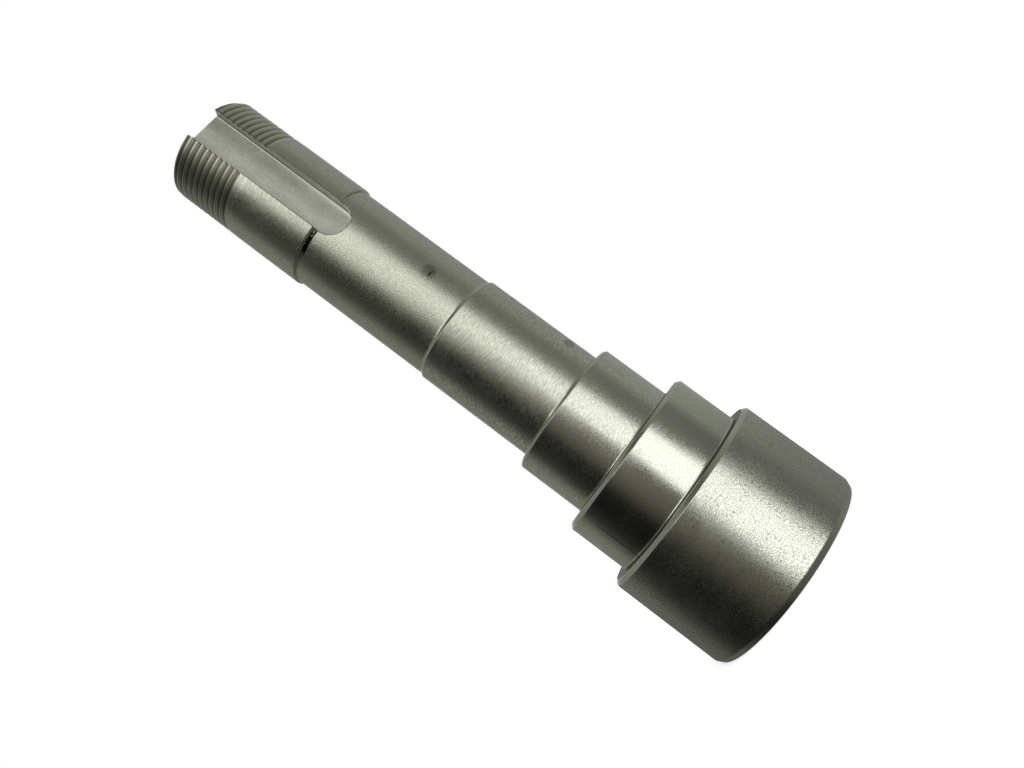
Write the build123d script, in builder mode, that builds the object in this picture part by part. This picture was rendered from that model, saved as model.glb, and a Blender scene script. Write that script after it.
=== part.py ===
"""Meat grinder drive shaft: one steel piece, turned, ground, broached, slotted and threaded.

The shaft stands on its head. The origin is the centre of the head's end face, +Z runs along the
axis to the threaded end, and the keyway faces -Y. All sizes are in millimetres.
"""

import os
from math import acos, degrees, radians, tan

from build123d import *

# Diameters of the stretches, from the head up, with crests of the thread cut under the seat's size
head_diameter = 45.0
seal_seat_diameter = 38.0
large_bearing_diameter = 30.0
small_bearing_diameter = 25.0
relief_diameter = 24.0
gear_seat_diameter = 25.0
thread_diameter = 24.6

# Lengths of the same stretches, and the excess of the blank that is faced off at the end
head_length = 26.2
seal_seat_length = 14.0
large_bearing_length = 15.7
small_bearing_length = 28.1
relief_length = 34.5
gear_seat_length = 18.0
thread_length = 16.5
parting_allowance = 5.0

# Long bevel on the head's end, lead-in chamfers on the rims, and the bevel that the tool's corner
# leaves at the foot of a shoulder
end_bevel_width = 0.7
end_bevel_height = 1.4
head_chamfer = 1.0
seal_seat_chamfer = 0.9
large_bearing_chamfer = 0.6
small_bearing_chamfer = 0.5
gear_seat_chamfer = 0.2
thread_chamfer = 0.9
foot_bevel = 0.3
least_bevel = 0.25
chamfer_share = 0.8
foot_share = 0.6

# Thread: a right-hand metric V without a relief groove, which the cutter leaves along an arc
thread_pitch = 1.5
thread_angle = 60.0
thread_plain_end = 1.5
thread_start_angle = 120.0
run_out_spread = 1.25
crest_share = 1 / 8
depth_share = 0.6134
cutter_overrun = 0.08

# Keyway: open at the threaded end, round at its inner end
keyway_width = 8.0
keyway_depth = 4.0
keyway_length = 40.0

# Drive socket: a square broached over a drilled pilot, with a bevelled mouth
socket_width = 20.0
socket_depth = 24.0
socket_corner = 1.0
pilot_diameter = 21.0
pilot_depth = 27.0
drill_point_angle = 118.0
mouth_diameter = 29.0
mouth_angle = 90.0

# Centre hole in the threaded end, which the shaft was ground on
centre_drill_diameter = 4.0
centre_drill_depth = 10.0
centre_cone_diameter = 8.5
centre_cone_angle = 60.0


# Heights of the shoulders, worked out from the lengths
seal_seat_bottom = head_length
large_bearing_bottom = seal_seat_bottom + seal_seat_length
small_bearing_bottom = large_bearing_bottom + large_bearing_length
relief_bottom = small_bearing_bottom + small_bearing_length
gear_seat_bottom = relief_bottom + relief_length
thread_bottom = gear_seat_bottom + gear_seat_length
shaft_top = thread_bottom + thread_length
blank_top = shaft_top + parting_allowance


def cone_height(wide, narrow, angle):
    """Height of a cone between two diameters, for the full angle at its point."""
    return (wide - narrow) / 2 / tan(radians(angle / 2))


def ring(part, height, diameter):
    """The circular edge nearest to one diameter at one height."""
    level = part.edges().filter_by(GeomType.CIRCLE).filter_by_position(Axis.Z, height, height)
    return level.sort_by(lambda edge: abs(edge.radius - diameter / 2))[0]


# Groove of the thread: a V wound up past the end of the shaft, with an arc that leaves the metal below
thread_radius = thread_diameter / 2
thread_depth = depth_share * thread_pitch
flank_slope = tan(radians(thread_angle / 2))
groove_mouth = (1 - crest_share) * thread_pitch
half_root = groove_mouth / 2 - thread_depth * flank_slope
half_mouth = groove_mouth / 2 + cutter_overrun * flank_slope
groove_bottom = thread_bottom + thread_plain_end
groove_top = shaft_top + parting_allowance / 2

# The arc starts on the thread's radius and ends where the whole V is clear of it
run_out_radius = run_out_spread * thread_radius
clear_radius = thread_radius + thread_depth + cutter_overrun
clear_chord = (clear_radius**2 - thread_radius**2) / (run_out_radius - thread_radius)
run_out_angle = degrees(acos(1 - clear_chord / (2 * run_out_radius)))

with BuildPart() as thread_groove:
    with BuildLine():
        winding = Helix(thread_pitch, groove_top - groove_bottom, thread_radius, center=(0, 0, groove_bottom))
    section_plane = Plane(origin=winding @ 0, x_dir=(1, 0, 0), z_dir=winding % 0)
    with BuildSketch(section_plane) as groove_section:
        with BuildLine():
            Polyline(
                (cutter_overrun, -half_mouth),
                (cutter_overrun, half_mouth),
                (-thread_depth, half_root),
                (-thread_depth, -half_root),
                close=True,
            )
        make_face()
    sweep(path=winding, is_frenet=True)
    with BuildLine(Plane(origin=winding @ 0, x_dir=-(winding % 0), z_dir=section_plane.y_dir)):
        run_out = JernArc((0, 0), (1, 0), run_out_radius, run_out_angle)
    sweep(groove_section.sketch, path=run_out, is_frenet=True)

# The shaft itself
with BuildPart() as drive_shaft:

    # Turned blank
    with BuildSketch(Plane.XZ):
        with BuildLine():
            Polyline(
                (0, 0),
                (head_diameter / 2 - end_bevel_width, 0),
                (head_diameter / 2, end_bevel_height),
                (head_diameter / 2, seal_seat_bottom),
                (seal_seat_diameter / 2, seal_seat_bottom),
                (seal_seat_diameter / 2, large_bearing_bottom),
                (large_bearing_diameter / 2, large_bearing_bottom),
                (large_bearing_diameter / 2, small_bearing_bottom),
                (small_bearing_diameter / 2, small_bearing_bottom),
                (small_bearing_diameter / 2, relief_bottom),
                (relief_diameter / 2, relief_bottom),
                (relief_diameter / 2, gear_seat_bottom),
                (gear_seat_diameter / 2, gear_seat_bottom),
                (gear_seat_diameter / 2, thread_bottom),
                (thread_radius, thread_bottom),
                (thread_radius, blank_top),
                (0, blank_top),
                close=True,
            )
        make_face()
    revolve(axis=Axis.Z)

    # Rims and feet of the shoulders
    for height, wide, narrow, rim in (
        (seal_seat_bottom, head_diameter, seal_seat_diameter, head_chamfer),
        (large_bearing_bottom, seal_seat_diameter, large_bearing_diameter, seal_seat_chamfer),
        (small_bearing_bottom, large_bearing_diameter, small_bearing_diameter, large_bearing_chamfer),
        (relief_bottom, small_bearing_diameter, relief_diameter, small_bearing_chamfer),
        (gear_seat_bottom, gear_seat_diameter, relief_diameter, gear_seat_chamfer),
    ):
        step = abs(wide - narrow) / 2
        rim = min(rim, chamfer_share * step)
        foot = min(foot_bevel, foot_share * (step - rim))
        chamfer(ring(drive_shaft, height, max(wide, narrow)), length=rim)
        if foot > least_bevel:
            chamfer(ring(drive_shaft, height, min(wide, narrow)), length=foot)

    # Thread, cut in the overlong blank, which is then faced to length and chamfered
    add(thread_groove.part, rotation=(0, 0, thread_start_angle), mode=Mode.SUBTRACT)
    with BuildSketch(Plane.XZ):
        with BuildLine():
            Polyline(
                (0, shaft_top),
                (thread_radius - thread_chamfer, shaft_top),
                (thread_radius, shaft_top - thread_chamfer),
                (thread_radius + parting_allowance, shaft_top - thread_chamfer - parting_allowance),
                (thread_radius + parting_allowance, blank_top + parting_allowance),
                (0, blank_top + parting_allowance),
                close=True,
            )
        make_face()
    revolve(axis=Axis.Z, mode=Mode.SUBTRACT)

    # Keyway, milled from the floor outwards
    half_width = keyway_width / 2
    keyway_floor = gear_seat_diameter / 2 - keyway_depth
    keyway_end = shaft_top - keyway_length
    with BuildSketch(Plane.XZ.offset(keyway_floor)):
        with BuildLine():
            open_side = Polyline(
                (-half_width, keyway_end + half_width),
                (-half_width, shaft_top),
                (half_width, shaft_top),
                (half_width, keyway_end + half_width),
            )
            ThreePointArc(open_side @ 1, (0, keyway_end), open_side @ 0)
        make_face()
    extrude(amount=head_diameter, mode=Mode.SUBTRACT)

    # Drive socket
    with BuildSketch(Plane.XY):
        RectangleRounded(socket_width, socket_width, socket_corner)
    extrude(amount=socket_depth, mode=Mode.SUBTRACT)
    with BuildSketch(Plane.XZ):
        with BuildLine():
            Polyline(
                (0, 0),
                (mouth_diameter / 2, 0),
                (pilot_diameter / 2, cone_height(mouth_diameter, pilot_diameter, mouth_angle)),
                (pilot_diameter / 2, pilot_depth),
                (0, pilot_depth + cone_height(pilot_diameter, 0, drill_point_angle)),
                close=True,
            )
        make_face()
    revolve(axis=Axis.Z, mode=Mode.SUBTRACT)

    # Centre hole
    with BuildSketch(Plane.XZ):
        with BuildLine():
            cone_bottom = shaft_top - cone_height(centre_cone_diameter, centre_drill_diameter, centre_cone_angle)
            drill_bottom = shaft_top - centre_drill_depth
            Polyline(
                (0, shaft_top),
                (centre_cone_diameter / 2, shaft_top),
                (centre_drill_diameter / 2, cone_bottom),
                (centre_drill_diameter / 2, drill_bottom),
                (0, drill_bottom - cone_height(centre_drill_diameter, 0, drill_point_angle)),
                close=True,
            )
        make_face()
    revolve(axis=Axis.Z, mode=Mode.SUBTRACT)

drive_shaft.part.label = "drive_shaft"

os.makedirs("parts", exist_ok=True)
export_step(drive_shaft.part, "parts/drive_shaft.step")
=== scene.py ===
"""Studio picture of a steel drive shaft: turned, ground, broached, slotted and threaded in one piece.

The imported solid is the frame. One finished mesh stands for it, with a true helical thread, rounded
feet and rims and broken keyway edges, in the same place and at the same size. Sizes of the shaft
are in millimetres until its points are written, and everything else is in metres.
"""

import math

import bpy
import bmesh
import numpy as np
from mathutils import Matrix, Vector
from mathutils.geometry import tessellate_polygon


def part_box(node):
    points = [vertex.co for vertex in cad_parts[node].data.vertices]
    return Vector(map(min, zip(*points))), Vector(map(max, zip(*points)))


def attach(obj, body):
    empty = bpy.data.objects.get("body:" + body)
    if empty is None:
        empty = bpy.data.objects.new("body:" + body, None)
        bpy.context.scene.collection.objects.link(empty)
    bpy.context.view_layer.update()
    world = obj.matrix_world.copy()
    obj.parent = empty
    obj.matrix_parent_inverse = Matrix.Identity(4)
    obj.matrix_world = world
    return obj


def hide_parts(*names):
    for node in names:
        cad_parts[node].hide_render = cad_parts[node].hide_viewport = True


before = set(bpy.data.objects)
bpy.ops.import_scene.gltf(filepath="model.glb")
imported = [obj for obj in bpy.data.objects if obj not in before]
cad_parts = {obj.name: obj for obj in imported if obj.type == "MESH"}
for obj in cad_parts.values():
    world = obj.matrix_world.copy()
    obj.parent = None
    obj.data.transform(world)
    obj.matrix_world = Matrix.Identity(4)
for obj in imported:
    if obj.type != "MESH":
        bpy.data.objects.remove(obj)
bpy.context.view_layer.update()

MM = 0.001
MICROMETRE = 1e-6
DEGREES = 180 / math.pi
WHITE = (1, 1, 1, 1)
NODE = "drive_shaft"
FINISHED = "drive_shaft_finished"

# Radii and lengths of the stretches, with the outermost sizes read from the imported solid
solid_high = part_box(NODE)[1]
shaft_top = solid_high.z / MM
head_radius = solid_high.x / MM
seal_radius = 19.0
large_radius = 15.0
small_radius = 12.5
relief_radius = 12.0
gear_radius = 12.5
thread_radius = 12.46
head_length = 26.2
seal_length = 14.0
large_length = 15.7
small_length = 28.1
relief_length = 34.5
gear_length = 18.0

# Heights of the shoulders
head_top = head_length
seal_top = head_top + seal_length
large_top = seal_top + large_length
small_top = large_top + small_length
relief_top = small_top + relief_length
thread_bottom = relief_top + gear_length

# Rims, feet and corners
end_bevel_width = 0.7
end_bevel_height = 1.4
end_face_margin = 1.0
head_chamfer = 0.95
seal_chamfer = 0.9
large_chamfer = 0.6
small_chamfer = 0.45
small_foot = 0.3
small_foot_round = 0.8
gear_rise = 0.5
gear_rise_round = 0.2
thread_chamfer = 0.9
thread_fade = 0.7
foot_round = 0.42
ledge_round = 0.9
end_round = 1.2
face_round = 0.3
rim_round = 0.15

# Thread, and the arc on which its cutter leaves the metal
pitch = 1.5
thread_depth = 0.72
thread_plain_end = 1.5
crest_share = 1 / 8
half_root = 0.1
run_out_spread = 1.25
run_out_sweep = 80
groove_start = thread_bottom + thread_plain_end
groove_start_angle = 120.0
groove_mouth = (1 - crest_share) * pitch
thread_root = thread_radius - thread_depth
run_out_radius = run_out_spread * thread_radius

# Keyway
key_half = 4.0
key_depth = 4.0
key_length = 40.0
key_break = 0.15
key_corner = 0.3
key_floor = gear_radius - key_depth
key_arc_centre = shaft_top - key_length + key_half

# Drive socket and centre hole
socket_half = 10.0
socket_depth = 24.0
socket_corner = 1.0
pilot_radius = 10.5
pilot_depth = 27.0
mouth_radius = 14.5
drill_point_angle = 118
drill_slope = math.tan(math.radians(drill_point_angle / 2))
centre_radius = 2.0
centre_depth = 10.0
centre_mouth = 4.25
centre_cone_angle = 60
centre_slope = math.tan(math.radians(centre_cone_angle / 2))

# Fineness of the mesh
columns = 224
centre_columns = 56
arc_steps = 6
key_arc_rows = 24
key_corner_steps = 3
socket_steps = 8
settling_rounds = 4
corner_share = 0.45
support_margin = 0.25
bare_run = 0.75
tolerance = 1e-9

# Clean-up of the mesh, in metres, and which of its edges and faces aren't shaded smoothly
merge_distance = 2e-7
dissolve_distance = 1e-7
sharp_angle = 27
level_normal = 0.9999


def rounded(points):
    """An outline of (radius, height, corner radius, finish), with each corner turned into an arc."""
    rows = []
    for i, (r, z, corner, finish) in enumerate(points):
        here = np.array([r, z])
        if corner == 0 or i in (0, len(points) - 1):
            rows.append((r, z, finish))
            continue
        before = np.array(points[i - 1][:2]) - here
        after = np.array(points[i + 1][:2]) - here
        space_before = np.linalg.norm(before)
        space_after = np.linalg.norm(after)
        before = before / space_before
        after = after / space_after
        half_turn = math.acos(max(-1.0, min(1.0, float(before @ after)))) / 2
        reach = min(corner / math.tan(half_turn), corner_share * space_before, corner_share * space_after)
        radius = reach * math.tan(half_turn)
        middle = (before + after) / np.linalg.norm(before + after)
        centre = here + middle * radius / math.sin(half_turn)
        start = here + before * reach - centre
        end = here + after * reach - centre
        sweep = math.pi - 2 * half_turn
        for k in range(arc_steps + 1):
            blend = k / arc_steps
            spoke = start * math.sin((1 - blend) * sweep) + end * math.sin(blend * sweep)
            spoke *= radius / np.linalg.norm(spoke)
            rows.append((*(centre + spoke), points[i - 1][3] if blend < 0.5 else finish))
    return rows


def supported(rows):
    """Adds a row close to each end of a long straight run, so that smooth shading stays true on it."""
    result = [rows[0]]
    for (r0, z0, finish0), (r1, z1, finish1) in zip(rows, rows[1:]):
        length = math.hypot(r1 - r0, z1 - z0)
        if length > bare_run:
            for share in (support_margin / length, 1 - support_margin / length):
                result.append((r0 + (r1 - r0) * share, z0 + (z1 - z0) * share, finish0))
        result.append((r1, z1, finish1))
    return result


FINISHES = ("bevel", "head", "shoulder", "ledge", "seal", "large", "small", "relief", "rise", "gear",
            "thread", "keyway", "wall", "corner", "edge", "bore", "face")

outline = supported(rounded((
    (head_radius - end_bevel_width - end_face_margin, 0, 0, "face"),
    (head_radius - end_bevel_width, 0, face_round, "bevel"),
    (head_radius, end_bevel_height, end_round, "head"),
    (head_radius, head_top - head_chamfer, rim_round, "shoulder"),
    (head_radius - head_chamfer, head_top, ledge_round, "ledge"),
    (seal_radius, head_top, foot_round, "seal"),
    (seal_radius, seal_top - seal_chamfer, rim_round, "shoulder"),
    (seal_radius - seal_chamfer, seal_top, ledge_round, "ledge"),
    (large_radius, seal_top, foot_round, "large"),
    (large_radius, large_top - large_chamfer, rim_round, "shoulder"),
    (large_radius - large_chamfer, large_top, ledge_round, "ledge"),
    (small_radius, large_top, foot_round, "small"),
    (small_radius, small_top - small_chamfer, rim_round, "shoulder"),
    (relief_radius, small_top + small_foot, small_foot_round, "relief"),
    (relief_radius, relief_top - gear_rise, gear_rise_round, "rise"),
    (gear_radius, relief_top, gear_rise_round, "gear"),
    (gear_radius, thread_bottom - thread_fade, 0, "gear"),
    (thread_radius, groove_start - groove_mouth, 0, "thread"),
)))
outline_top = outline[-1][1]


def thread_surface(angle, height):
    """Radius of the threaded end at an angle in degrees and a height."""
    turns = (height - groove_start) / pitch - (angle - groove_start_angle) / 360
    turn = np.round(turns)
    off_centre = np.abs(turns - turn) * pitch
    wound = angle - groove_start_angle + 360 * turn
    back = np.radians(np.clip(-wound, 0, run_out_sweep))
    offset = run_out_radius - thread_radius
    path = -offset * np.cos(back) + np.sqrt(run_out_radius**2 - (offset * np.sin(back)) ** 2)
    lift = np.where(wound < -run_out_sweep, thread_radius, path - thread_radius)
    across = np.clip((off_centre - half_root) / (groove_mouth / 2 - half_root), 0, 1)
    groove = thread_root + lift + (thread_radius - thread_root) * (1 - np.cos(math.pi * across)) / 2
    end_cone = thread_radius - thread_chamfer + (shaft_top - height)
    return np.minimum(np.minimum(groove, thread_radius), end_cone)


# Where the rows of the thread lie beside the middle of its groove, as shares of the pitch
thread_rows = (-0.44, -0.36, -0.29, -0.22, -0.14, -0.07, 0.0, 0.07, 0.14, 0.22, 0.29, 0.36, 0.44, 0.5)


def row_list():
    """Rows of the outer surface from the head up, as (radius, height, helical, finish).

    The radius is None on the thread, where the thread's own surface gives it.
    """
    rows = []
    arc_radius = key_half + key_break
    arc_bottom = key_arc_centre - key_half - key_break
    arc = [key_arc_centre - arc_radius * math.cos(math.radians(90 * k / key_arc_rows))
           for k in range(key_arc_rows + 1)]
    inserted = False
    for (r, z, finish), (_, z_next, _) in zip(outline, outline[1:] + outline[-1:]):
        rows.append((r, z, False, finish))
        if not inserted and z < arc_bottom < z_next:
            rows += [(r, height, False, finish) for height in arc]
            inserted = True
    first = math.floor((outline_top - groove_start) / pitch) - 1
    last = math.ceil((shaft_top - groove_start) / pitch) + 1
    for turn in range(first, last + 1):
        rows += [(None, groove_start + (turn + share) * pitch, True, "thread") for share in thread_rows]
    rows.append((None, shaft_top, False, "thread"))
    return rows


def opening_at(height):
    """Half the width of the keyway, with its broken edge, at a height on the surface."""
    rise = key_arc_centre - height
    wide = key_half + key_break
    if rise >= wide - tolerance:
        return 0.0
    return math.sqrt(wide**2 - max(0.0, rise) ** 2)


def row_points(r, z, helical):
    """Angles, radii and heights of one row, which starts and ends on the edges of the keyway."""
    share = np.linspace(0, 1, columns + 1)
    half = opening_at(z)
    radius = np.full(columns + 1, thread_radius if r is None else r)

    # On the thread the ends depend on the radius there, and the radius on the ends, so they settle
    for _ in range(settling_rounds):
        start = -90 + math.degrees(math.asin(half / radius[0]))
        end = 270 - math.degrees(math.asin(half / radius[-1]))
        angle = start + (end - start) * share
        height = np.full(columns + 1, float(z))
        if helical:
            height = height + pitch * (angle - groove_start_angle) / 360
            height = np.clip(height, outline_top, shaft_top)
        if r is None:
            radius = thread_surface(angle, height)
    return angle, radius, height


def surface_grid():
    """Angles, radii and heights of the outer surface, row by row, and each row's finish."""
    angles, radii, heights, finishes = [], [], [], []
    limits = [row_points(None, level, False) for level in (outline_top, shaft_top)]
    for r, z, helical, finish in row_list():
        angle, radius, height = row_points(r, z, helical)

        # Where a helical row runs out at a flat one, it lies exactly on the flat one's points
        for limit_angle, limit_radius, limit_height in limits if helical else ():
            angle = np.where(height == limit_height, limit_angle, angle)
            radius = np.where(height == limit_height, limit_radius, radius)
        angles.append(angle)
        radii.append(radius)
        heights.append(height)
        finishes.append(finish)
    return np.array(angles), np.array(radii), np.array(heights), finishes


class Builder:
    """Collects points and faces with their finishes."""

    def __init__(self):
        self.points = []
        self.faces = []
        self.finishes = []

    def add(self, points):
        """Adds points in millimetres and returns their numbers."""
        first = len(self.points)
        self.points += [tuple(float(c) * MM for c in p) for p in points]
        return list(range(first, len(self.points)))

    def face(self, corners, finish):
        self.faces.append(corners)
        self.finishes.append(FINISHES.index(finish))

    def strip(self, below, above, finish, closed=False):
        """A strip of faces between two rows of points."""
        count = len(below) if closed else len(below) - 1
        for j in range(count):
            k = (j + 1) % len(below)
            self.face((below[j], below[k], above[k], above[j]), finish)

    def point_of_drill(self, loop, height):
        """The cone that a drill leaves, from a loop to its tip."""
        tip = self.add([(0, 0, height)])[0]
        for j, start in enumerate(loop):
            self.face((start, loop[(j + 1) % len(loop)], tip), "bore")

    def cap(self, outer, inner, finish):
        """A flat face between an outer and an inner loop."""
        loops = [[Vector(self.points[i]) for i in loop] for loop in (outer, inner)]
        together = outer + inner
        for corners in tessellate_polygon(loops):
            self.face(tuple(together[c] for c in corners), finish)


def polar(radius, angle, height):
    """Points from their radii, angles in degrees and heights."""
    turn = np.radians(angle)
    return np.stack(np.broadcast_arrays(radius * np.cos(turn), radius * np.sin(turn), height), -1)


def keyway_section(side, radius, height, half):
    """Points down one side of the keyway, from its broken edge past its corner to the floor."""
    share = half / (key_half + key_break)
    x = key_half * share
    z = height if share == 1 else key_arc_centre - key_half * math.sqrt(1 - share**2)
    brim = math.sqrt(radius**2 - x**2) - key_break
    round_size = min(key_corner, x)
    wall = [(side * x, -brim, z)]
    for k in range(key_corner_steps + 1):
        turn = math.pi / 2 * k / key_corner_steps
        inwards = round_size * (1 - math.cos(turn))
        outwards = round_size * (1 - math.sin(turn))
        wall.append((side * (x - inwards), -key_floor - outwards, z))
    return wall


def build_outside(build):
    """The outer surface with the keyway. Returns the loops that bound the two end faces."""
    angles, radii, heights, finishes = surface_grid()
    rows = [build.add(polar(radii[i], angles[i], heights[i])) for i in range(len(angles))]
    for i in range(len(rows) - 1):
        build.strip(rows[i], rows[i + 1], finishes[i])

    # Walls and floor of the keyway, from the broken edge inwards
    sides = {0: [], -1: []}
    for i in range(len(rows)):
        half = opening_at(heights[i][0])
        if half == 0 and opening_at(heights[min(i + 1, len(rows) - 1)][0]) == 0:
            continue
        for end, side in ((0, 1), (-1, -1)):
            section = keyway_section(side, radii[i][end], heights[i][end], half)
            sides[end].append([rows[i][end]] + build.add(section))
    for end in sides:
        for below, above in zip(sides[end], sides[end][1:]):
            build.strip(below[:2], above[:2], "edge")
            build.strip(below[1:3], above[1:3], "wall")
            build.strip(below[2:], above[2:], "corner")
    for right, right_above, left, left_above in zip(sides[0], sides[0][1:], sides[-1], sides[-1][1:]):
        build.face((right[-1], right_above[-1], left_above[-1], left[-1]), "keyway")
    top = rows[-1] + sides[-1][-1][1:] + sides[0][-1][:0:-1]
    return rows[0][:-1], top


def socket_radius(angle):
    """Distance from the axis to the socket's wall, where the square stands out of the drilled pilot."""
    turn = math.radians(abs((angle + 45) % 90 - 45))
    flat = socket_half / math.cos(turn)
    inner = socket_half - socket_corner
    corner_start = math.atan2(inner, socket_half)
    if turn > corner_start:
        along = inner * math.sqrt(2) * math.cos(math.pi / 4 - turn)
        across = inner * math.sqrt(2) * math.sin(math.pi / 4 - turn)
        flat = along + math.sqrt(socket_corner**2 - across**2)
    return max(pilot_radius, flat)


def build_socket(build):
    """The square drive socket in the head. Returns its mouth's loop."""
    leaves = math.degrees(math.acos(socket_half / pilot_radius))
    corner = math.degrees(math.atan2(socket_half - socket_corner, socket_half))
    marks = (-leaves, leaves, corner, 90 - corner, 90 - leaves)
    turns = [start + (end - start) * k / socket_steps
             for start, end in zip(marks, marks[1:]) for k in range(socket_steps)]
    turns = np.array([quarter + turn for quarter in (0, 90, 180, 270) for turn in turns])
    wall = np.array([socket_radius(turn) for turn in turns])
    loops = [
        build.add(polar(mouth_radius, turns, 0.0)),
        build.add(polar(wall, turns, mouth_radius - wall)),
        build.add(polar(wall, turns, socket_depth)),
        build.add(polar(pilot_radius, turns, socket_depth)),
        build.add(polar(pilot_radius, turns, pilot_depth)),
    ]
    for below, above in zip(loops, loops[1:]):
        build.strip(below, above, "bore", closed=True)
    build.point_of_drill(loops[-1], pilot_depth + pilot_radius / drill_slope)
    return loops[0]


def build_centre_hole(build):
    """The centre hole in the threaded end. Returns its mouth's loop."""
    turns = np.linspace(0, 360, centre_columns, endpoint=False)
    cone_bottom = shaft_top - (centre_mouth - centre_radius) / centre_slope
    drill_bottom = shaft_top - centre_depth
    loops = [
        build.add(polar(centre_mouth, turns, shaft_top)),
        build.add(polar(centre_radius, turns, cone_bottom)),
        build.add(polar(centre_radius, turns, drill_bottom)),
    ]
    for above, below in zip(loops, loops[1:]):
        build.strip(below, above, "bore", closed=True)
    build.point_of_drill(loops[-1], drill_bottom - centre_radius / drill_slope)
    return loops[0]


def build_shaft(materials):
    """The finished shaft as one closed mesh."""
    build = Builder()
    bottom, top = build_outside(build)
    build.cap(bottom, build_socket(build), "face")
    build.cap(top, build_centre_hole(build), "face")

    mesh = bpy.data.meshes.new(FINISHED)
    mesh.from_pydata(build.points, [], build.faces)
    for name in FINISHES:
        mesh.materials.append(materials[name])
    mesh.polygons.foreach_set("material_index", build.finishes)
    joined = bmesh.new()
    joined.from_mesh(mesh)
    bmesh.ops.remove_doubles(joined, verts=joined.verts, dist=merge_distance)
    bmesh.ops.dissolve_degenerate(joined, edges=joined.edges, dist=dissolve_distance)
    bmesh.ops.recalc_face_normals(joined, faces=joined.faces)
    joined.to_mesh(mesh)
    joined.free()

    # Flat shading comes after the sharp edges, because finding those makes every face smooth
    mesh.set_sharp_from_angle(angle=math.radians(sharp_angle))
    for polygon in mesh.polygons:
        if FINISHES[polygon.material_index] == "face" and abs(polygon.normal.z) > level_normal:
            polygon.use_smooth = False
    shaft = bpy.data.objects.new(FINISHED, mesh)
    bpy.context.scene.collection.objects.link(shaft)
    return shaft


class Nodes:
    """A short way to write a node tree."""

    def __init__(self, tree):
        self.tree = tree
        tree.nodes.clear()

    def add(self, kind, inputs=None, **settings):
        node = self.tree.nodes.new(kind)
        for name, value in settings.items():
            setattr(node, name, value)
        for name, value in (inputs or {}).items():
            self.set(node.inputs[name], value)
        return node

    def set(self, socket, value):
        if isinstance(value, bpy.types.NodeSocket):
            self.tree.links.new(value, socket)
        else:
            socket.default_value = value

    def math(self, operation, *values):
        node = self.add("ShaderNodeMath", operation=operation)
        for socket, value in zip(node.inputs, values):
            self.set(socket, value)
        return node.outputs[0]

    def place(self):
        return self.add("ShaderNodeTexCoord").outputs["Object"]

    def axes(self, vector):
        return self.add("ShaderNodeSeparateXYZ", inputs={"Vector": vector}).outputs

    def combine(self, x, y, z):
        return self.add("ShaderNodeCombineXYZ", inputs={"X": x, "Y": y, "Z": z}).outputs[0]

    def scaled(self, vector, factor):
        node = self.add("ShaderNodeVectorMath", operation="SCALE", inputs={
            "Vector": vector, "Scale": factor})
        return node.outputs[0]

    def length(self, vector):
        node = self.add("ShaderNodeVectorMath", operation="LENGTH", inputs={"Vector": vector})
        return node.outputs["Value"]

    def mixed(self, factor, first, second):
        node = self.add("ShaderNodeMix", data_type="RGBA", inputs={
            "Factor": factor, "A": first, "B": second})
        return node.outputs["Result"]

    def ranged(self, value, from_low, from_high, to_low=0.0, to_high=1.0, soft=True):
        """A value moved from one range into another, and held at its ends."""
        kind = "SMOOTHSTEP" if soft else "LINEAR"
        node = self.add("ShaderNodeMapRange", interpolation_type=kind, inputs={
            "Value": value, "From Min": from_low, "From Max": from_high,
            "To Min": to_low, "To Max": to_high})
        return node.outputs["Result"]

    def noise(self, vector, size, detail=2.0, roughness=0.5):
        """Noise with features of about a size in millimetres."""
        node = self.add("ShaderNodeTexNoise", inputs={
            "Vector": vector, "Scale": 1 / (size * MM), "Detail": detail, "Roughness": roughness})
        return node.outputs["Fac"]

    def ramp(self, value, stops):
        """A colour that changes evenly between stops of (value, colour)."""
        low = stops[0][0]
        high = stops[-1][0]
        share = self.ranged(value, low, high, soft=False)
        node = self.add("ShaderNodeValToRGB", inputs={"Fac": share})
        elements = node.color_ramp.elements
        while len(elements) < len(stops):
            elements.new(0.5)
        for element, (place, colour) in zip(elements, stops):
            element.position = (place - low) / (high - low)
            element.color = (*colour, 1)
        return node.outputs["Color"]

    def curve(self, value, stops):
        """A number up to 1 that changes evenly between stops of (value, number)."""
        return self.ramp(value, [(place, (level, level, level)) for place, level in stops])

    def finish(self, shader, kind="ShaderNodeOutputMaterial"):
        output = self.add(kind)
        self.set(output.inputs["Surface"], shader)


def new_material(name):
    """An empty material and its nodes."""
    material = bpy.data.materials.new(name)
    material.use_nodes = True
    return material, Nodes(material.node_tree)


steel_colour = (0.60, 0.62, 0.50)
plain_colour = (0.60, 0.612, 0.52)
thread_colour = (0.60, 0.608, 0.50)
# Painted light: the keyway walls are coloured far lighter than the steel, to brighten them
wall_painted_light_colour = (1.00, 1.00, 0.90)
# Colour of pits, dirt and painted shade
dirt_and_shade_colour = (0.012, 0.012, 0.010)

# The camera's side of the shaft, which the angles of stains and lights start from, in degrees
view_azimuth = -105.9

# Patterns in the steel, with their sizes in millimetres. The limits are the levels of noise between
# which a pattern changes, and the radius counts as height so that the grain also crosses flat faces.
radius_as_height = 1.7
line_squeeze = 0.035
line_size = 0.12
cloud_size = 6
speckle_share = 1.25
pit_size = 0.34
pit_limits = (0.66, 0.74)
sheen_limits = (0.3, 0.7)
tone_limits = (0.25, 0.75)
mottle = 0.03
dirt_roughness = 0.25

# Spots of dirt and of painted shade. They fade out between two limits of the distance from their middle,
# in shares of their size, with ragged noise added to it.
spot_depth = 3
spot_grain = 0.6
spot_raggedness = 1.6
spot_limits = (1.35, 1.85)


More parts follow.
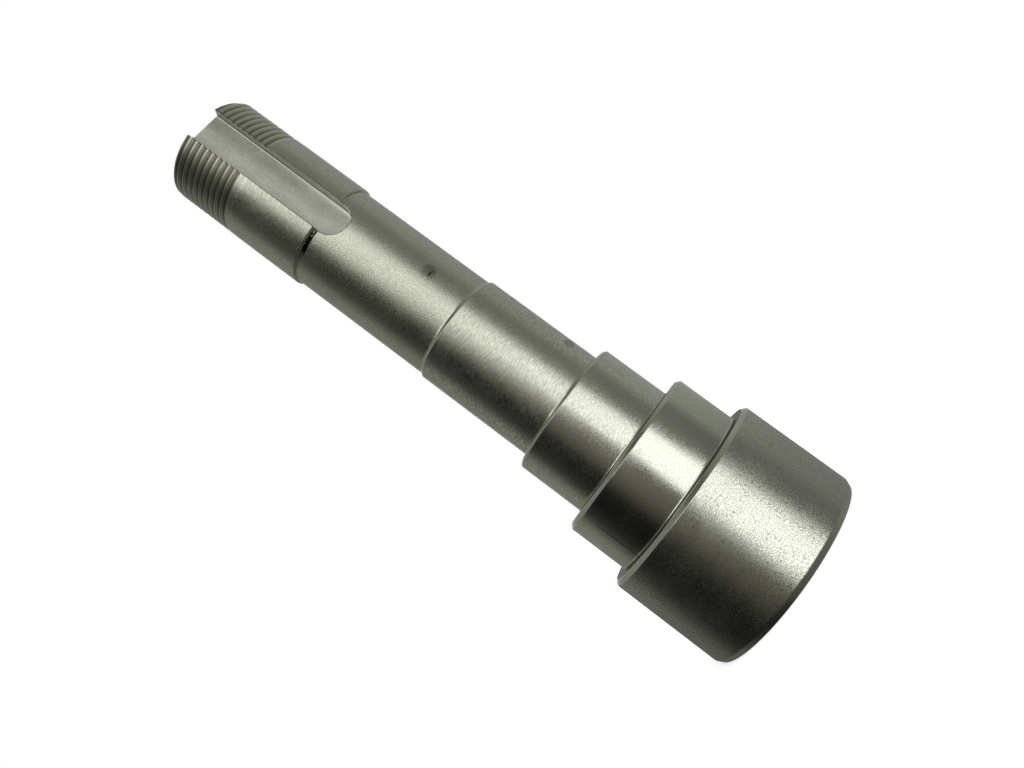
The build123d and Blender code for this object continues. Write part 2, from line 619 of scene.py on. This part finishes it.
def dirt_and_shade_spots(n, place, spots):
    """How much dirt and painted shade cover a point. A spot has an angle from the camera's side, a height,
    the radius it lies on, half its length round the shaft and along it, in millimetres, and its strength."""
    total = 0.0
    ragged = n.noise(place, spot_grain, detail=4.0, roughness=0.65)
    for angle, height, radius, around, along, strength in spots:
        turn = math.radians(view_azimuth + angle)
        centre = (radius * MM * math.cos(turn), radius * MM * math.sin(turn), height * MM)
        local = n.add("ShaderNodeMapping", vector_type="TEXTURE", inputs={
            "Vector": place, "Location": centre, "Rotation": (0, 0, turn),
            "Scale": (spot_depth * MM, around * MM, along * MM)}).outputs[0]
        distance = n.length(local)
        edge = n.math("MULTIPLY_ADD", ragged, spot_raggedness, distance)
        total = n.math("ADD", n.ranged(edge, *spot_limits, strength, 0.0), total)
    return n.math("MINIMUM", total, 1.0)


def steel(name, roughness, grain=10.0, size=0.2, stretch=2.0, tone=0.1, spread=0.0, shade=1.0, lines=0.0,
          pits=0.0, spots=(), rim=1.0, colour=steel_colour, tone_of=None):
    """Bare steel. The grain's depth is in micrometres and its size in millimetres, and stretch is how
    far it is drawn out round the shaft. Tone and spread are how much it changes colour and roughness, and
    rim is how bright it is at a low angle. Shade scales the colour, as painted shade below 1 and painted
    light above 1, and tone_of scales it further where a finish has painted shade and light that vary."""
    material, n = new_material("steel_" + name)
    place = n.place()
    axes = n.axes(place)
    x_squared = n.math("MULTIPLY", axes[0], axes[0])
    y_squared = n.math("MULTIPLY", axes[1], axes[1])
    radius = n.math("SQRT", n.math("ADD", x_squared, y_squared))
    along = n.math("MULTIPLY_ADD", radius, radius_as_height, axes[2])

    # Grain of the surface, and fine lines that the lathe and the wheel leave round the shaft
    grain_x = n.math("MULTIPLY", axes[0], 1 / stretch)
    grain_y = n.math("MULTIPLY", axes[1], 1 / stretch)
    grain_place = n.combine(grain_x, grain_y, along)
    grains = n.noise(grain_place, size, detail=2.0, roughness=0.6)
    line_x = n.math("MULTIPLY", axes[0], line_squeeze)
    line_y = n.math("MULTIPLY", axes[1], line_squeeze)
    fine_lines = n.noise(n.combine(line_x, line_y, along), line_size, detail=3.0, roughness=0.65)
    height = n.math("ADD", n.math("MULTIPLY", grains, grain), n.math("MULTIPLY", fine_lines, lines))

    # Slow change of the sheen, and the grain in the sheen and in the colour
    cloud = n.noise(place, cloud_size, detail=4.0, roughness=0.6)
    speckle = n.noise(grain_place, speckle_share * size, detail=1.0)
    slow_sheen = n.ranged(cloud, *sheen_limits, roughness - mottle, roughness + mottle)
    sheen = n.math("ADD", slow_sheen, n.ranged(speckle, *sheen_limits, -spread, spread, soft=False))
    shine = n.ranged(speckle, *tone_limits, shade * (1 + tone), shade * (1 - tone), soft=False)
    # Painted shade and light that vary over the surface, where the finish has them
    if tone_of:
        shine = n.math("MULTIPLY", shine, tone_of(n, axes, radius))
    tinted = n.scaled(colour, shine)

    # Pits, dirt and painted shade
    dirt_and_shade = n.ranged(n.noise(place, pit_size, detail=1.0), *pit_limits, 0.0, pits)
    if spots:
        dirt_and_shade = n.math("MAXIMUM", dirt_and_shade, dirt_and_shade_spots(n, place, spots))
    soiled_and_shaded = n.mixed(dirt_and_shade, tinted, (*dirt_and_shade_colour, 1))
    bump = n.add("ShaderNodeBump", inputs={"Height": height, "Distance": MICROMETRE, "Strength": 1.0})
    shader = n.add("ShaderNodeBsdfPrincipled", inputs={
        "Base Color": soiled_and_shaded, "Metallic": 1.0, "Specular Tint": (rim, rim, rim, 1),
        "Roughness": n.math("MULTIPLY_ADD", dirt_and_shade, dirt_roughness, sheen), "Normal": bump.outputs[0]})
    n.finish(shader.outputs[0])
    return material


def metres(limits, start=0.0):
    """Two places in millimetres, counted from a start, as metres."""
    return [(start + limit) * MM for limit in limits]


# The thread's painted shade and painted light, dark at the bottom of its groove and light at its
# crests. It starts at the thread's plain end, between two heights counted from the first groove.
groove_margins = (0.05, -0.08)
groove_shade_and_light_levels = (0.68, 1.38)
thread_onset = (-1.0, 0.2)

# The keyway floor's tone: random clouds, painted shade on the side by one wall, and painted light
# near that wall at the closed end. Each pair runs across the floor from its middle, along it from the
# shaft's end, or from one level to another.
floor_squeeze = 0.4
floor_cloud_size = 2.4
floor_cloud_levels = (0.93, 1.07)
floor_shade_across = (-2.0, 2.4)
floor_shade_along = (-6, -35)
floor_shade_levels = (0.62, 0.46)
floor_glow_across = (2.8, 3.8)
floor_glow_along = (-13, -35)
floor_glow_levels = (0.0, 0.65)
floor_level = 1.15


def groove_shade_and_crest_light(n, axes, radius):
    """Painted shade in the groove and painted light on the crests; the plain start is as bright as the seat
    below.
    """
    bottom = (thread_root + groove_margins[0]) * MM
    crest = (thread_radius + groove_margins[1]) * MM
    groove = n.ranged(radius, bottom, crest, *groove_shade_and_light_levels)
    started = n.ranged(axes[2], *metres(thread_onset, groove_start))
    return n.math("MULTIPLY_ADD", n.math("SUBTRACT", groove, 1.0), started, 1.0)


def floor_clouds_shade_and_light(n, axes, radius):
    """The milled floor is cloudy, with painted shade by one wall and painted light at its closed end."""
    drawn = n.combine(axes[0], axes[1], n.math("MULTIPLY", axes[2], floor_squeeze))
    cloud = n.noise(drawn, floor_cloud_size, detail=4.0, roughness=0.55)
    clouds = n.ranged(cloud, *sheen_limits, *floor_cloud_levels)
    shaded = n.ranged(axes[0], *metres(floor_shade_across))
    shade = n.ranged(axes[2], *metres(floor_shade_along, shaft_top), *floor_shade_levels)
    glowing = n.ranged(axes[0], *metres(floor_glow_across))
    glow = n.ranged(axes[2], *metres(floor_glow_along, shaft_top), *floor_glow_levels)
    dimmed = n.math("SUBTRACT", floor_level, n.math("MULTIPLY", shaded, shade))
    return n.math("MULTIPLY", clouds, n.math("MULTIPLY_ADD", glowing, glow, dimmed))


# Spots of dirt and painted shade, each as the function that draws them describes it
step_dirt_and_shade = (
    (-19, relief_top - 1.12, relief_radius, 5.2, 0.26, 1.0),
    (-20, relief_top - 0.55, relief_radius, 5.6, 0.24, 0.9),
    (-21, relief_top - 0.85, relief_radius, 2.6, 0.5, 1.0),
    (-4, relief_top - 0.85, relief_radius, 1.6, 0.5, 0.4),
    # Painted shade: a thin dark line along the foot of the step
    (58, relief_top - 0.40, relief_radius, 5.5, 0.2, 0.4),
)
relief_marks = step_dirt_and_shade + (
    (31, 94.0, relief_radius, 2.2, 1.4, 0.5),
    (28, 92.8, relief_radius, 1.8, 0.8, 0.45),
)
small_marks = ((67, 62.3, small_radius, 2.6, 1.3, 0.35),)
seal_marks = ((-49, 31.0, seal_radius, 0.25, 7.5, 0.6),)

looks = {
    "bevel": dict(roughness=0.30, grain=16, lines=4, spread=0.06),
    "head": dict(roughness=0.295, grain=20, size=0.15, stretch=1.0, tone=0.26, spread=0.18, pits=0.7),
    "shoulder": dict(roughness=0.18, grain=4, lines=2),
    # Painted shade: the flat shoulder faces get a colour far darker than the steel, and dim at low angles
    "ledge": dict(roughness=0.30, grain=4, lines=2, shade=0.36, rim=0.45),
    "seal": dict(roughness=0.21, grain=9, tone=0.09, spread=0.06, lines=2, pits=0.05, spots=seal_marks),
    "large": dict(roughness=0.27, grain=16, stretch=3.0, tone=0.14, spread=0.09, lines=2),
    "small": dict(roughness=0.29, grain=28, size=0.11, stretch=9.0, tone=0.24, spread=0.15, lines=8,
                  spots=small_marks),
    "relief": dict(roughness=0.30, grain=30, size=0.15, stretch=1.6, tone=0.16, spread=0.14, lines=2,
                   spots=relief_marks),
    # Painted light: the step up to the gear seat gets a colour lighter than the steel
    "rise": dict(roughness=0.48, grain=10, shade=1.30, spots=step_dirt_and_shade),
    "gear": dict(roughness=0.31, grain=20, size=0.15, stretch=4.0, tone=0.14, spread=0.10, lines=5),
    # Painted shade in the thread's groove and painted light on its crests
    "thread": dict(roughness=0.34, grain=10, lines=3, colour=thread_colour, tone_of=groove_shade_and_crest_light),
    # Painted shade by one wall of the keyway floor, and painted light at its closed end
    "keyway": dict(roughness=0.44, grain=14, size=0.35, stretch=1.0, shade=0.80, colour=plain_colour,
                   tone_of=floor_clouds_shade_and_light),
    # Painted light: the keyway walls get a colour far lighter than the steel
    "wall": dict(roughness=0.48, grain=8, size=0.4, stretch=1.0, colour=wall_painted_light_colour),
    "corner": dict(roughness=0.30, grain=8, size=0.4, stretch=1.0, colour=plain_colour),
    # The keyway's broken edge is coloured far darker than the steel, which draws a thin dark line along it
    "edge": dict(roughness=0.45, grain=10, size=0.3, stretch=1.0, shade=0.3, colour=plain_colour),
    "bore": dict(roughness=0.36, grain=6, lines=3),
    "face": dict(roughness=0.32, grain=6, lines=5),
}

shaft = build_shaft({name: steel(name, **looks[name]) for name in FINISHES})
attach(shaft, "root")
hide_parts(NODE)


# Camera, from the photograph's perspective
camera_place = Vector((-0.053131, -0.186913, 0.041055))
camera_forward = Vector((0.31334, 0.94145, 0.12447)).normalized()
camera_up = Vector((0.74209, -0.32453, 0.5865))
camera_lens = 32.52
camera_sensor = 36.0
camera_shift = (-0.038, -0.0353)
camera_near = 0.001

camera_data = bpy.data.cameras.new("camera")
camera_data.sensor_width = camera_sensor
camera_data.lens = camera_lens
camera_data.shift_x = camera_shift[0]
camera_data.shift_y = camera_shift[1]
camera_data.clip_start = camera_near
camera = bpy.data.objects.new("camera", camera_data)
right = camera_forward.cross(camera_up).normalized()
up = right.cross(camera_forward)
camera_turn = Matrix((right, up, -camera_forward)).transposed().to_4x4()
camera.matrix_world = Matrix.Translation(camera_place) @ camera_turn
bpy.context.scene.collection.objects.link(camera)
bpy.context.scene.camera = camera


# Studio: a white floor and backdrop, and a round screen of soft tones that only the steel mirrors.
# Tones are written as the steel shows them, and a light is its tone divided by the share that the steel
# gives back. Heights and sides are angles in degrees, seen from the middle of the shaft.
steel_share = 0.6
screen_radius = 4.0
screen_middle = shaft_top * MM / 2
screen_segments = 96
screen_rings = 48
screen_gain = 1.13
screen_levels = ((-40, 0.55), (-20, 0.50), (-9, 0.50), (-3, 0.90), (2, 1.0), (9, 0.80), (90, 0.80))

# The grey card on the far side leans, by two angles at two heights, and the lean fades out between
# two sides
lean_heights = (-9.0, 9.0)
lean_angles = (10.0, -7.0)
lean_sides = (-75.0, -45.0)

# What lightens the dark between the cards, high up and low down
lift_tone = 0.022
lift_heights = (2.0, 28.0)
low_lift_heights = (-4.0, -9.0)
low_lift_sides = (52.0, 72.0)

# The ceiling, and its darker part straight above
ceiling_heights = (40.0, 54.0)
ceiling_tone = 0.150
zenith_tone = 0.080
zenith_heights = (66.0, 78.0)
zenith_sides = (-70.0, 0.0)

# The softbox, in strips of (height, near edge, far edge)
softbox_radius = 3.5
softbox_gain = 1.14
softbox_steps = 12
softbox_strips = ((-30, 2, 53), (-8, 2, 52), (-3, 6, 40), (2, 5, 45), (9, -9, 44), (16, -16, 39),
                  (28, -29, 36), (42, -40, 35), (57, -46, 40))
softbox_levels = ((-8, 1.0), (0, 0.93), (8, 0.57), (16, 0.55), (26, 0.51), (31, 0.56), (36, 0.90),
                  (58, 0.90))
softbox_low_colour = (1.0, 0.99, 1.06, 1)
softbox_high_colour = (1.0, 0.99, 0.98, 1)
softbox_colour_heights = (0.0, 10.0)

# The floor glows less near the shaft, so that its shadow shows
floor_half = 3.0
floor_glow_places = (0.06, 0.25)
floor_glow_tones = (0.75, 1.0)
floor_shadow_colour = (0.35, 0.35, 0.35, 1)
floor_bounce_colour = (0.8, 0.8, 0.8, 1)

lamp_size = 1.2
lamp_power = 22.0
lamp_place = (0.2, -0.2, 1.4)


def screen_tones(n, azimuth):
    """The screen's colour by the angle from the camera's side, positive towards the keyway."""
    tones = (
        (-180, 0.400, (1.00, 1.00, 1.02)),
        (-171, 0.300, (1.00, 1.00, 1.02)),
        (-160, 0.150, (1.00, 1.00, 0.96)),
        (-118, 0.150, (0.99, 1.00, 0.97)),
        (-104, 0.080, (0.99, 1.00, 0.97)),
        (-94, 0.022, (0.97, 1.00, 1.00)),
        (-70, 0.006, (0.90, 1.00, 1.10)),
        (-48, 0.008, (0.95, 1.00, 1.10)),
        (-32, 0.060, (1.12, 0.99, 0.90)),
        (-22, 0.090, (1.10, 0.99, 0.92)),
        (-6, 0.100, (1.06, 0.99, 0.95)),
        (40, 0.140, (1.00, 1.00, 1.00)),
        (60, 0.120, (1.00, 1.00, 1.00)),
        (84, 0.105, (0.98, 1.00, 1.00)),
        (100, 0.200, (0.98, 1.00, 1.00)),
        (160, 0.210, (0.98, 1.00, 1.00)),
        (171, 0.300, (0.98, 1.00, 1.02)),
        (180, 0.400, (0.98, 1.00, 1.02)),
    )
    stops = [(angle, [tone / steel_share * part for part in tint]) for angle, tone, tint in tones]
    return n.ramp(azimuth, stops)


def elevation_of(n, height, radius):
    """How high above the horizon a point of a round screen is, in degrees."""
    return n.math("MULTIPLY", n.math("ARCSINE", n.math("DIVIDE", height, radius)), DEGREES)


def studio_object(name, mesh, material, camera_sees=False):
    thing = bpy.data.objects.new(name, mesh)
    mesh.materials.append(material)
    bpy.context.scene.collection.objects.link(thing)
    thing.visible_camera = camera_sees
    return thing


def make_screen():
    material, n = new_material("screen")
    axes = n.axes(n.place())
    turn = math.radians(view_azimuth)
    x_ahead = n.math("MULTIPLY", axes[0], math.cos(turn))
    y_ahead = n.math("MULTIPLY", axes[1], math.sin(turn))
    ahead = n.math("ADD", x_ahead, y_ahead)
    y_aside = n.math("MULTIPLY", axes[1], math.cos(turn))
    x_aside = n.math("MULTIPLY", axes[0], math.sin(turn))
    aside = n.math("SUBTRACT", y_aside, x_aside)
    azimuth = n.math("MULTIPLY", n.math("ARCTAN2", aside, ahead), DEGREES)
    rise = elevation_of(n, axes[2], screen_radius)

    # The walls of the studio
    lean = n.ranged(rise, *lean_heights, *lean_angles, soft=False)
    held = n.ranged(azimuth, *lean_sides, lean, 0.0)
    tones = screen_tones(n, n.math("ADD", azimuth, held))
    level = n.curve(rise, screen_levels)
    lift = n.ranged(rise, *lift_heights, 0.0, lift_tone / steel_share, soft=False)
    scaled = n.scaled(tones, n.math("MULTIPLY", level, screen_gain))
    low_rise = n.ranged(rise, *low_lift_heights, 0.0, lift_tone / steel_share)
    low_lift = n.math("MULTIPLY", low_rise, n.ranged(azimuth, *low_lift_sides))
    lift = n.math("ADD", lift, low_lift)
    lifted = n.combine(lift, lift, lift)
    walls = n.add("ShaderNodeVectorMath", operation="ADD", inputs={0: scaled, 1: lifted}).outputs[0]

    # An even ceiling, darker straight above
    straight_up = n.math("MULTIPLY", n.ranged(rise, *zenith_heights), n.ranged(azimuth, *zenith_sides))
    ceiling = n.ranged(straight_up, 0.0, 1.0, ceiling_tone / steel_share, zenith_tone / steel_share)
    room = n.mixed(n.ranged(rise, *ceiling_heights), walls, n.combine(ceiling, ceiling, ceiling))
    n.finish(n.add("ShaderNodeEmission", inputs={"Color": room, "Strength": 1.0}).outputs[0])
    material.cycles.emission_sampling = "NONE"

    mesh = bpy.data.meshes.new("screen")
    ball = bmesh.new()
    bmesh.ops.create_uvsphere(
        ball, u_segments=screen_segments, v_segments=screen_rings, radius=screen_radius)
    ball.to_mesh(mesh)
    ball.free()
    screen = studio_object("screen", mesh, material)
    screen.location.z = screen_middle


def direction(azimuth, elevation):
    """A direction by its angle from the camera's side and its height above the horizon."""
    turn = math.radians(view_azimuth + azimuth)
    rise = math.radians(elevation)
    return Vector((math.cos(turn) * math.cos(rise), math.sin(turn) * math.cos(rise), math.sin(rise)))


def make_softbox():
    """The main light: a tall panel whose far edge leans, in strips from low to high."""
    material, n = new_material("softbox")
    axes = n.axes(n.place())
    rise = elevation_of(n, axes[2], softbox_radius)
    level = n.curve(rise, softbox_levels)
    strength = n.math("MULTIPLY", level, softbox_gain / steel_share)
    tint = n.mixed(n.ranged(rise, *softbox_colour_heights), softbox_low_colour, softbox_high_colour)
    n.finish(n.add("ShaderNodeEmission", inputs={"Color": tint, "Strength": strength}).outputs[0])

    mesh = bpy.data.meshes.new("softbox")
    points = []
    for elevation, near, far in softbox_strips:
        for k in range(softbox_steps + 1):
            azimuth = near + (far - near) * k / softbox_steps
            points.append(direction(azimuth, elevation) * softbox_radius)
    faces = []
    for i in range(len(softbox_strips) - 1):
        for k in range(softbox_steps):
            below = i * (softbox_steps + 1) + k
            above = below + softbox_steps + 1
            faces.append((below, below + 1, above + 1, above))
    mesh.from_pydata(points, [], faces)
    softbox = studio_object("softbox", mesh, material)
    softbox.location.z = screen_middle


def background_rays(n):
    """1 for the rays that show the white background: camera, glossy and transmission rays."""
    path = n.add("ShaderNodeLightPath").outputs
    seen = n.math("MAXIMUM", path["Is Camera Ray"], path["Is Glossy Ray"])
    return n.math("MAXIMUM", seen, path["Is Transmission Ray"])


def make_floor():
    """A white floor that shows the shaft's shadow, and is seen through from below."""
    material, n = new_material("floor")
    shown = n.add("ShaderNodeAddShader")
    glow = n.ranged(n.length(n.place()), *floor_glow_places, *floor_glow_tones)
    n.set(shown.inputs[0], n.add("ShaderNodeEmission", inputs={"Color": WHITE, "Strength": glow}).outputs[0])
    shadowed = n.add("ShaderNodeBsdfDiffuse", inputs={"Color": floor_shadow_colour})
    n.set(shown.inputs[1], shadowed.outputs[0])
    plain = n.add("ShaderNodeBsdfDiffuse", inputs={"Color": floor_bounce_colour})
    above = n.add("ShaderNodeMixShader", inputs={"Fac": background_rays(n)})
    n.set(above.inputs[1], plain.outputs[0])
    n.set(above.inputs[2], shown.outputs[0])
    backfacing = n.add("ShaderNodeNewGeometry").outputs["Backfacing"]
    either = n.add("ShaderNodeMixShader", inputs={"Fac": backfacing})
    n.set(either.inputs[1], above.outputs[0])
    n.set(either.inputs[2], n.add("ShaderNodeBsdfTransparent").outputs[0])
    n.finish(either.outputs[0])

    mesh = bpy.data.meshes.new("floor")
    corners = [(x * floor_half, y * floor_half, 0) for x, y in ((-1, -1), (1, -1), (1, 1), (-1, 1))]
    mesh.from_pydata(corners, [], [(0, 1, 2, 3)])
    floor = studio_object("floor", mesh, material, camera_sees=True)
    floor.visible_glossy = False


def make_world():
    world = bpy.data.worlds.new("world")
    bpy.context.scene.world = world
    world.use_nodes = True
    n = Nodes(world.node_tree)
    background = n.add("ShaderNodeBackground", inputs={"Color": WHITE, "Strength": background_rays(n)})
    n.finish(background.outputs[0], kind="ShaderNodeOutputWorld")


def make_lamp():
    """A weak lamp above, which the steel doesn't mirror."""
    data = bpy.data.lights.new("overhead", "AREA")
    data.shape = "DISK"
    data.size = lamp_size
    data.energy = lamp_power
    lamp = bpy.data.objects.new("overhead", data)
    lamp.location = lamp_place
    lamp.rotation_euler = (Vector((0, 0, 0)) - lamp.location).to_track_quat("-Z", "Y").to_euler()
    lamp.visible_glossy = False
    bpy.context.scene.collection.objects.link(lamp)


make_screen()
make_softbox()
make_floor()
make_world()
make_lamp()

bpy.context.scene.view_settings.view_transform = "Standard"
